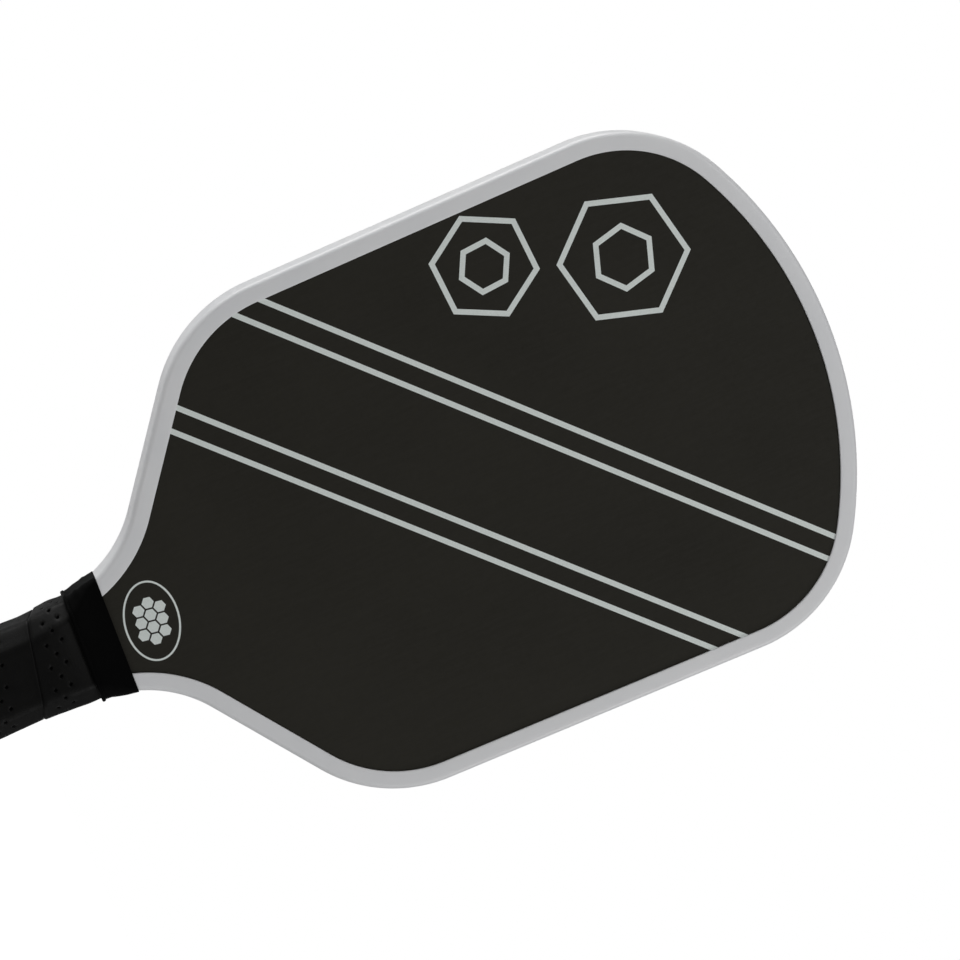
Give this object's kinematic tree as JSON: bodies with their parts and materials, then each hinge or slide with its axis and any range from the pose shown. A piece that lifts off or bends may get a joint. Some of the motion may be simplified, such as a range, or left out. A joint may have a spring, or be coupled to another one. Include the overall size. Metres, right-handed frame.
{
  "type": "pickleball paddle",
  "caption": "Pickleball paddle with a flat composite head, moulded edge guard and a perforated cushion-wrapped handle for hitting a plastic ball.",
  "frame": {"origin": "middle of the flat end of the handle's butt cap", "axes": "+Z from the butt along the handle to the tip of the head, +X across the head, +Y out of the back face, so the front face looks along -Y"},
  "size_m": [0.2004, 0.0344, 0.405],
  "materials": {
    "core_plastic": "translucent white polypropylene",
    "scrim_fabric": "non-woven polyester",
    "composite_face": "satin charcoal with a fine grit",
    "guard_plastic": "satin white",
    "foam": "closed-cell foam",
    "adhesive": "double-sided tape",
    "staple_steel": "bright wire",
    "cap_plastic": "fine moulded texture",
    "grip_leather": "perforated synthetic leather, satin",
    "tape_fabric": "vinyl tape",
    "collar_rubber": "smooth stretched rubber"
  },
  "bodies": {
    "root": {"core": "core_plastic", "scrim_front": "scrim_fabric", "scrim_back": "scrim_fabric", "face_sheet_front": "composite_face", "face_sheet_back": "composite_face", "edge_guard": "guard_plastic", "handle_pallet_front": "foam", "handle_pallet_back": "foam", "adhesive_strip_front": "adhesive", "adhesive_strip_back": "adhesive", "cap_staple_front": "staple_steel", "cap_staple_back": "staple_steel", "butt_cap": "cap_plastic", "butt_plug": "cap_plastic", "grip_wrap": "grip_leather", "finishing_tape": "tape_fabric", "rubber_collar": "collar_rubber"}
  },
  "joints": []
}
